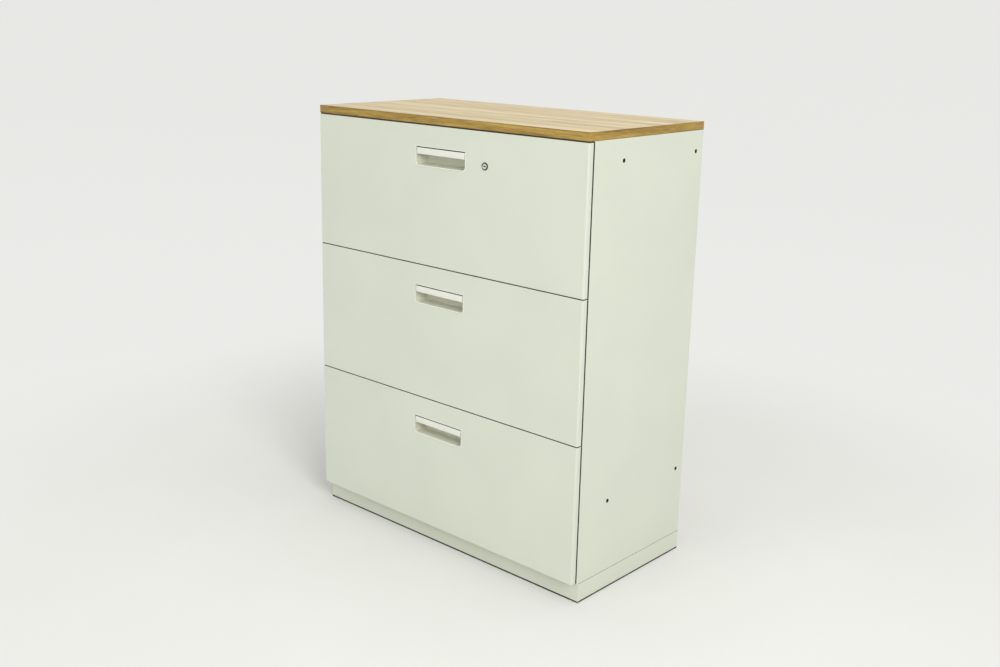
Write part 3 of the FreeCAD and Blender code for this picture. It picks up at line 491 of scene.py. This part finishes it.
def outline(halfWide, low, high, lowCorner, highCorner, steps=10):
    # An upright rectangle with round corners as a closed loop of (x, z), lower corners larger
    centres = [(halfWide - lowCorner, low + lowCorner, lowCorner, -90),
               (halfWide - highCorner, high - highCorner, highCorner, 0),
               (-halfWide + highCorner, high - highCorner, highCorner, 90),
               (-halfWide + lowCorner, low + lowCorner, lowCorner, 180)]
    loops = []
    for x, z, radius, start in centres:
        a = np.radians(np.linspace(start, start + 90, steps + 1))
        loops.append(np.column_stack([x + radius * np.cos(a), z + radius * np.sin(a)]))
    return np.vstack(loops)


def cupLoop(level, y, grow, high):
    # the recess's outline at depth y, grown outwards by a wall
    narrow = handle["draft"] * max(0.0, y - handle["draftFrom"])
    rise = handle["rise"] * y / handle["deep"]
    low = handleTops[level] - handle["height"] + rise - grow
    corner = handle["corner"] - 0.25 * narrow + grow
    return outline(handle["half"] - narrow + grow, low, high + grow, corner, 0.8 + grow)


def placed(loop, y):
    return np.column_stack([loop[:, 0], np.full(len(loop), y + frontPlane), loop[:, 1]])


def makeCup(level):
    # Rear of the recess, with a roof: inner loops from the middle of the back wall forwards, then outer loops back.
    roof, deep, r = handleTops[level] - handle["roofDrop"], handle["deep"], handle["backRound"]
    stages = []
    for y, grow in ((deep, -r), (deep + handle["wall"], handle["wall"])):
        loop = cupLoop(level, deep, grow, roof)
        middle = loop.mean(0)
        stages.append([placed(middle + (loop - middle) * k, y) for k in (0.15, 0.5, 0.8, 1.0)])
    angle = np.linspace(math.pi / 2, 0, 8)[1:]
    bend = [placed(cupLoop(level, deep, -r * (1 - math.cos(a)), roof), deep - r * (1 - math.sin(a))) for a in angle]
    walls = [placed(cupLoop(level, y, 0.0, roof), y) for y in (24.0, 18.0, 12.0, handle["roofFrom"])]
    outer = [placed(cupLoop(level, y, handle["wall"], roof), y) for y in (handle["roofFrom"], 18.0, 26.0, deep)]
    rings = np.stack(stages[0] + bend + walls + outer + stages[1][::-1])
    rear = gridPiece("cup", rings / 1000, wrapV=True, capStart=True, capEnd=True)
    # Front of the recess, open above for the arm of the lever: a small rectangle carried down, along and up again.
    sections = []
    depths = np.array([0.1, 3.0, 6.0, handle["roofFrom"] + 0.05])
    for grow, order in ((0.0, depths), (handle["thin"], depths[::-1])):
        for y in order:
            loop = cupLoop(level, y, grow, roof)
            sections.append(placed(np.vstack([loop[-11:], loop[:11]]), y))
    path = np.stack(sections, 1)
    ends = path[[0, -1]].copy()
    ends[..., 2] = handleTops[level] - 0.3
    rings = np.concatenate([ends[:1], path, ends[1:]])
    front = gridPiece("cup", rings / 1000, wrapV=True, capStart=True, capEnd=True)
    piece = finishPiece(joinPieces(level + "Cup", [rear, front]), absCup, level + "_drawer", 35)
    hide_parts(level + "_handle_cup")


def makeRim(level):
    # A rounded bead round the opening, half an ellipse in section, that swells to a lip along the lower edge.
    top = handleTops[level]
    low = top - handle["height"]
    facing = outline(1.0, -1.0, 1.0, 1.0, 1.0)                  # on a circle the point is its own normal
    swell = np.clip(-facing[:, 1], 0, 1) ** 1.5
    wide, proud = handle["rimWide"] + handle["lipWide"] * swell, handle["rimProud"] + handle["lipProud"] * swell
    bead = [((1 - math.cos(a)) / 2, -math.sin(a) ** 0.8) for a in np.linspace(0, math.pi, 13)]
    steps = [(0.0, handle["rimBack"])] + bead
    rings = []
    for across, depth in steps:
        loop = outline(handle["half"], low, top, handle["corner"], 0.4)
        grown = outline(handle["half"] + 1, low - 1, top + 1, handle["corner"] + 1, 1.4)
        point = loop + (grown - loop) * (across * wide - 0.3)[:, None]
        y = (depth * proud if depth < 0 else np.full(len(loop), depth)) + frontPlane
        rings.append(np.column_stack([point[:, 0], y, point[:, 1]]))
    back = outline(handle["half"] + 0.2, low - 0.2, top + 0.2, handle["corner"] + 0.2, 0.6)
    rings.append(placed(back, handle["rimBack"]))
    piece = gridPiece(level + "HandleRim", np.stack(rings) / 1000, wrapU=True, wrapV=True)
    finishPiece(piece, absRimPaintedHighlight, level + "_drawer", 50)


for level in handleTops:
    makeCup(level)
    makeRim(level)
print("handle cups and rims made")


lock = {                                 # mm; head, collar, bore and body are radii
    "x": 147.0, "z": sum(c.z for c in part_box("lock_plug")) * 500, "head": 9.1, "collar": 6.9, "proud": 2.0,
    "bore": 5.6, "body": 8.25, "end": 21.5, "pitch": 1.0, "slotLong": 4.4, "slotHigh": 1.25,
}


def makeLock():
    # Barrel: a light face ring and a threaded body, turned in one profile; the collar round the face is painted near
    # black as painted shade.
    face, head, collar = -lock["proud"], lock["head"], lock["collar"]
    thread = np.arange(3.0, lock["end"] - 1.0, lock["pitch"] / 2)
    ridge = lock["body"] - 0.35 * (np.arange(len(thread)) % 2)
    profile = [(lock["bore"], face + 0.25), (lock["bore"] + 0.25, face), (collar - 0.7, face),
               (collar - 0.35, face + 0.15), (collar - 0.2, face + 0.5), (collar - 0.2, -0.4),
               (lock["body"] - 0.3, 0.2)]
    profile += list(zip(ridge, thread)) + [(lock["body"] - 0.5, lock["end"]), (lock["bore"], lock["end"])]
    centre = (lock["x"], frontPlane, lock["z"])
    piece = turned("lockBarrel", profile, centre)
    finishPiece(piece, nickel, "top_drawer", 35)
    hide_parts("lock_barrel")
    bend = np.radians(np.linspace(180, 0, 11))
    middle, radius = (head + collar) / 2, (head - collar) / 2
    bead = [(middle + radius * math.cos(a), face + 0.8 - 0.8 * math.sin(a)) for a in bend]
    ring = turned("lockCollar", [(collar, -0.02)] + bead + [(head, -0.02)], centre)
    finishPiece(ring, paintedShadeCollar, "top_drawer", 35)
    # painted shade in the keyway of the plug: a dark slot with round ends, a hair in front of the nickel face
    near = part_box("lock_plug")[0].y * 1000
    high = lock["slotHigh"]
    slot = outline(lock["slotLong"], -high, high, high - 0.01, high - 0.01, 6)
    slot = slot + np.array([lock["x"] - 0.35, lock["z"]])
    rings = [np.column_stack([slot[:, 0], np.full(len(slot), y), slot[:, 1]]) for y in (near - 0.03, near + 0.4)]
    piece = gridPiece("keywayShade", np.stack(rings) / 1000, wrapV=True, capStart=True, capEnd=True)
    finishPiece(piece, rubberAndShade, "lock_cylinder")


makeLock()
print("lock made")


underShade = {                                 # mm, black strip under a front or the worktop, painted shade in the gap
    "inset": 0.9, "back": 12.0, "corner": 3.6, "drop": 2.35, "underTop": 2.8, "topInset": 1.7,
}


def makeUnderShade(name, body, top, drop, insetBy):
    # black strip that hangs in the gap as painted shade: round the front corners as the sheet is
    half = halfWidth - insetBy
    plan = cornered(-half, half, frontPlane + insetBy, frontPlane + underShade["back"], underShade["corner"])
    finishPiece(prism(name, plan, top - drop, top), rubberAndShade, body)


sideShade = {"wide": 1.4, "thick": 0.8, "proud": 0.02, "end": 1.6}    # mm, black strip on the rear edge of a front's side, painted shade in the gap to the post


def makeSideShades(level):
    low, high = (c.z * 1000 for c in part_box(level + "_drawer_front"))
    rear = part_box(level + "_drawer_front")[1].y * 1000
    strips = []
    for side in (-1, 1):
        outside, inside = side * (halfWidth + sideShade["proud"]), side * (halfWidth - sideShade["thick"])
        plan = cornered(min(outside, inside), max(outside, inside), rear - sideShade["wide"], rear + 0.1, 0.02, 0.02)
        strips.append(prism("strip", plan, low + sideShade["end"], high - sideShade["end"]))
    finishPiece(joinPieces(level + "EdgeShadeStrips", strips), rubberAndShade, level + "_drawer")


baseFloorShade = {"high": 3.9, "low": 0.1, "proud": 0.02, "thick": 6.0, "corner": 1.0}    # mm, black band on the lower edge of the base, painted shade where it meets the floor
seamShade = {"high": 50.5, "low": 49.6, "proud": 0.03, "thick": 2.0, "corner": 1.0}    # mm, dark line between base and body, painted shade in the seam


def makeBand(name, values):
    # a closed dark band round the base: painted shade on its lower edge where it meets the floor, or painted shade in
    # the seam where the body stands on it
    near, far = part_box("base_frame")
    out, thick, corner = values["proud"], values["thick"], values["corner"]
    rings = []
    for margin, z in ((-out, values["low"]), (-out, values["high"]), (thick, values["high"]), (thick, values["low"])):
        left, front = near.x * 1000 + margin, near.y * 1000 + margin
        right, back = far.x * 1000 - margin, far.y * 1000 - margin
        plan = cornered(left, right, front, back, corner, corner)
        rings.append(np.column_stack([plan, np.full(len(plan), z)]))
    finishPiece(gridPiece(name, np.stack(rings) / 1000, wrapU=True, wrapV=True), rubberAndShade, "cabinet")


postShade = {"wide": 4.6, "thick": 3.3, "inset": 0.03, "low": 54.0, "high": 1098.5}   # mm, black strip on the front posts, painted shade in the gap to the fronts


def makePostShade(side):
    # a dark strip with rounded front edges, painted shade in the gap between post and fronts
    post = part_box("side_panel_right")[0].y * 1000
    outside, inside = side * (halfWidth - postShade["inset"]), side * (halfWidth - postShade["wide"])
    plan = cornered(min(outside, inside), max(outside, inside), post - postShade["thick"], post, 0.3, 0.02)
    return prism("postShade", plan, postShade["low"], postShade["high"])


finishPiece(joinPieces("postShadeStrips", [makePostShade(-1), makePostShade(1)]), rubberAndShade, "cabinet")
for level in handleTops:
    makeSideShades(level)
    if level != "bottom":
        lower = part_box(level + "_drawer_front")[0].z * 1000
        makeUnderShade(level + "GapShade", level + "_drawer", lower, underShade["drop"], underShade["inset"])
makeUnderShade("worktopGapShade", "cabinet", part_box("worktop_board")[0].z * 1000, underShade["underTop"], underShade["topInset"])
makeBand("baseFloorShadeBand", baseFloorShade)
makeBand("baseSeamShade", seamShade)


joining = {                              # mm; outer and bore are radii
    "depths": (128.0, 420.0), "heights": (233.0, 1050.0), "outer": 5.1, "bore": 2.8, "length": 15.0, "proud": 0.02,
}


def makeNut(side, depth, height):
    # A black nut insert in a joining hole: a turned cup with a thin flange, open outwards
    outer, bore, length, face = joining["outer"], joining["bore"], joining["length"], halfWidth + joining["proud"]
    profile = [(bore, face - 0.4), (bore + 0.5, face), (outer, face), (outer, face - 0.5), (3.4, face - 0.6),
               (3.4, face - length), (0.01, face - length), (0.01, face - length + 1.5), (bore, face - length + 1.5)]
    profile = [(r, side * a) for r, a in profile]
    return turned("nut", profile, (0, depth + frontPlane, height), "x", 32)


nuts = [makeNut(side, d, h) for side in (-1, 1) for d in joining["depths"] for h in joining["heights"]]
finishPiece(joinPieces("joiningNuts", nuts), rubberAndShade, "cabinet")
# the strips in the gaps are painted shade
print("shade strips and nuts made")


rearScrew = {                            # mm
    "rows": (92.0, 340.0, 588.0, 836.0, 1080.0), "across": 437.0,
    "head": 3.8, "socket": 1.6, "deep": 1.6, "length": 9.0, "proud": 0.03,
}


def makeRearScrews():
    # countersunk screws, flush to a hair, down both edges of the back panel: a turned cone with a bored socket
    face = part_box("back_panel")[1].y * 1000
    head, socket, deep = rearScrew["head"], rearScrew["socket"], rearScrew["deep"]
    tip = face - rearScrew["length"]
    profile = [(socket, face), (head - 0.2, face), (head, face - 0.15), (1.8, face - 2.2), (1.8, tip),
               (0.01, tip), (0.01, face - deep), (socket, face - deep)]
    places = [(side * rearScrew["across"], rearScrew["proud"], z) for side in (-1, 1) for z in rearScrew["rows"]]
    screws = [turned("screw", profile, place, "y", 24) for place in places]
    finishPiece(joinPieces("rearScrews", screws), zinc, "cabinet", 35)


makeRearScrews()
print("rear screws made")


studio = {
    "floor": "#DFDFDB",
    "paleColour": (1.0, 1.0, 0.975, 1), "paleTone": 0.85, "worldTone": 0.807,
    "paleFrom": 0.75, "paleTo": 2.1, "paleMost": 0.9,     # the floor turns pale between these metres, to this share
    "back": 7.5, "bend": 1.5, "high": 6.0, "wide": 26.0, "near": -7.5,   # metres
    "sky": (0.42, 0.84),                # strength at the horizon and overhead
    "key": {"place": (3.8, -2.2, 2.8), "size": 2.2, "power": 101},
    "fill": {"place": (-0.9, -4.4, 1.4), "size": 2.4, "power": 24.5},
    "over": {"place": (0.2, 0.3, 4.6), "size": 2.6, "power": 39},
}


def seenRays(tree):
    # 1 for the rays that show the background: straight to the camera, mirrored or through glass
    path = addNode(tree, "ShaderNodeLightPath")
    either = {"operation": "MAXIMUM"}
    seen = addNode(tree, "ShaderNodeMath", either, {0: (path, "Is Camera Ray"), 1: (path, "Is Glossy Ray")})
    return addNode(tree, "ShaderNodeMath", either, {0: (seen, 0), 1: (path, "Is Transmission Ray")})


def makeStage():
    # Floor and wall in one sheet: flat, a quarter circle, then upright; carried across x.
    back, bend = studio["back"], studio["bend"]
    angle = np.radians(np.linspace(-90, 0, 17))
    y = np.concatenate([np.linspace(studio["near"], back - bend, 8), back - bend + bend * np.cos(angle[1:]), [back]])
    z = np.concatenate([np.zeros(8), bend + bend * np.sin(angle[1:]), [studio["high"]]])
    x = np.linspace(-studio["wide"], studio["wide"], 5)
    grid = np.stack([np.column_stack([np.full(len(y), k), y, z]) for k in x])
    floor = gridPiece("studioFloor", grid)
    material, tree = startMaterial("paintedPlaster")
    place = addNode(tree, "ShaderNodeTexCoord")
    noise = addNode(tree, "ShaderNodeTexNoise", {"Scale": 3.0, "Detail": 2.0}, {"Vector": (place, "Object")})
    base = linear(studio["floor"])
    shade = addNode(tree, "ShaderNodeValToRGB", links={"Fac": (noise, "Fac")})
    setRamp(shade, [(0.3, [c * 0.985 for c in base[:3]] + [1]), (0.7, base)])
    matt = addNode(tree, "ShaderNodeBsdfDiffuse", {"Roughness": 0.5}, {"Color": (shade, "Color")})
    away = addNode(tree, "ShaderNodeVectorMath", {"operation": "LENGTH"}, {0: (place, "Object")})
    fade = {"From Min": studio["paleFrom"], "From Max": studio["paleTo"], "To Max": studio["paleMost"]}
    fade["interpolation_type"] = "SMOOTHSTEP"
    rise = addNode(tree, "ShaderNodeMapRange", fade, {"Value": (away, "Value")})
    glow = addNode(tree, "ShaderNodeEmission", {"Color": studio["paleColour"], "Strength": studio["paleTone"]})
    both = addNode(tree, "ShaderNodeMixShader", links={0: (rise, "Result"), 1: (matt, 0), 2: (glow, 0)})
    choice = addNode(tree, "ShaderNodeMixShader", links={0: (seenRays(tree), 0), 1: (matt, 0), 2: (both, 0)})
    addNode(tree, "ShaderNodeOutputMaterial", links={"Surface": (choice, "Shader")})
    floor.data.materials.append(material)
    floor.data.shade_smooth()


def makeLamp(name, values, target=(0, 0, 0.55)):
    lamp = bpy.data.lights.new(name, "AREA")
    lamp.shape = "DISK"
    lamp.size = values["size"]
    lamp.energy = values["power"]
    holder = bpy.data.objects.new(name, lamp)
    holder.location = values["place"]
    holder.rotation_euler = (Vector(target) - Vector(values["place"])).to_track_quat("-Z", "Y").to_euler()
    bpy.context.scene.collection.objects.link(holder)


def makeWorld():
    # A soft room that is brighter overhead; camera, glossy and transmission rays see it as a plain pale wall.
    world = bpy.data.worlds.new("softRoom")
    bpy.context.scene.world = world
    world.use_nodes = True
    tree = world.node_tree
    tree.nodes.clear()
    place = addNode(tree, "ShaderNodeTexCoord")
    axes = addNode(tree, "ShaderNodeSeparateXYZ", links={0: (place, "Generated")})
    low, high = studio["sky"]
    rise = addNode(tree, "ShaderNodeMapRange", {"To Min": low, "To Max": high}, {"Value": (axes, "Z")})
    sky = addNode(tree, "ShaderNodeBackground", {"Color": (1.0, 1.0, 0.99, 1)}, {"Strength": (rise, "Result")})
    pale = addNode(tree, "ShaderNodeBackground", {"Color": studio["paleColour"], "Strength": studio["worldTone"]})
    choice = addNode(tree, "ShaderNodeMixShader", links={0: (seenRays(tree), 0), 1: (sky, 0), 2: (pale, 0)})
    addNode(tree, "ShaderNodeOutputWorld", links={"Surface": (choice, "Shader")})


makeStage()
for lampName in ("key", "fill", "over"):
    makeLamp(lampName + "Lamp", studio[lampName])
makeWorld()
print("floor and light made")
